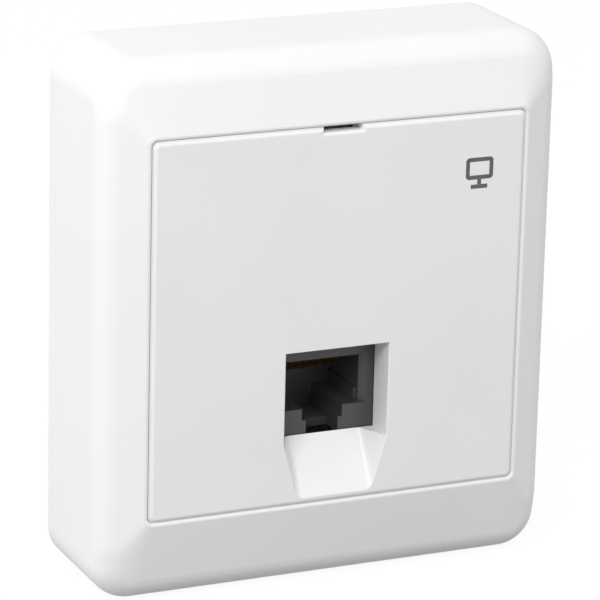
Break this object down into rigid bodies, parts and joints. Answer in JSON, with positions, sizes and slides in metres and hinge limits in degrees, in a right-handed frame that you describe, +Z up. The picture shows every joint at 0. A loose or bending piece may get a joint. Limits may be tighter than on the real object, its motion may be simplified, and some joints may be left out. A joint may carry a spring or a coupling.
{
  "type": "surface mount jack box",
  "caption": "White surface mount data outlet box with a clip-in centre plate, a modular jack in a square port and a finger scoop below it.",
  "frame": {"origin": "the wall plane, at the middle of the casing's width and height", "axes": "+Z up, +Y into the wall, so the front looks along -Y, and +X to the right as the front is seen"},
  "size_m": [0.0702, 0.0228, 0.0788],
  "materials": {
    "casing_plastic": "satin moulded ABS, white",
    "plate_plastic": "satin moulded ABS, white",
    "base_plastic": "matt moulded ABS, white",
    "board_laminate": "green solder resist over glass fibre laminate",
    "jack_plastic": "black moulded thermoplastic",
    "carrier_plastic": "black moulded thermoplastic",
    "terminal_plastic": "pale grey moulded thermoplastic",
    "plated_wire": "gold plated phosphor bronze",
    "blade_metal": "tin plated bronze",
    "screw_steel": "zinc plated steel"
  },
  "bodies": {
    "casing": {"hood": "casing_plastic", "base_plate": "base_plastic", "circuit_board": "board_laminate", "jack_housing": "jack_plastic", "contact_carrier": "carrier_plastic", "terminal_block": "terminal_plastic", "contact_wire_1": "plated_wire", "contact_wire_2": "plated_wire", "contact_wire_3": "plated_wire", "contact_wire_4": "plated_wire", "contact_wire_5": "plated_wire", "contact_wire_6": "plated_wire", "contact_wire_7": "plated_wire", "contact_wire_8": "plated_wire", "terminal_contact_1": "blade_metal", "terminal_contact_2": "blade_metal", "terminal_contact_3": "blade_metal", "terminal_contact_4": "blade_metal", "terminal_contact_5": "blade_metal", "terminal_contact_6": "blade_metal", "terminal_contact_7": "blade_metal", "terminal_contact_8": "blade_metal", "hood_screw_left": "screw_steel", "hood_screw_right": "screw_steel", "board_screw_left": "screw_steel", "board_screw_right": "screw_steel"},
    "plate": {"centre_plate": "plate_plastic"}
  },
  "joints": [
    {"name": "plate_pull", "type": "slide", "parent": "casing", "child": "plate", "axis": [0, -1, 0], "range_m": [0, 0.02]}
  ]
}
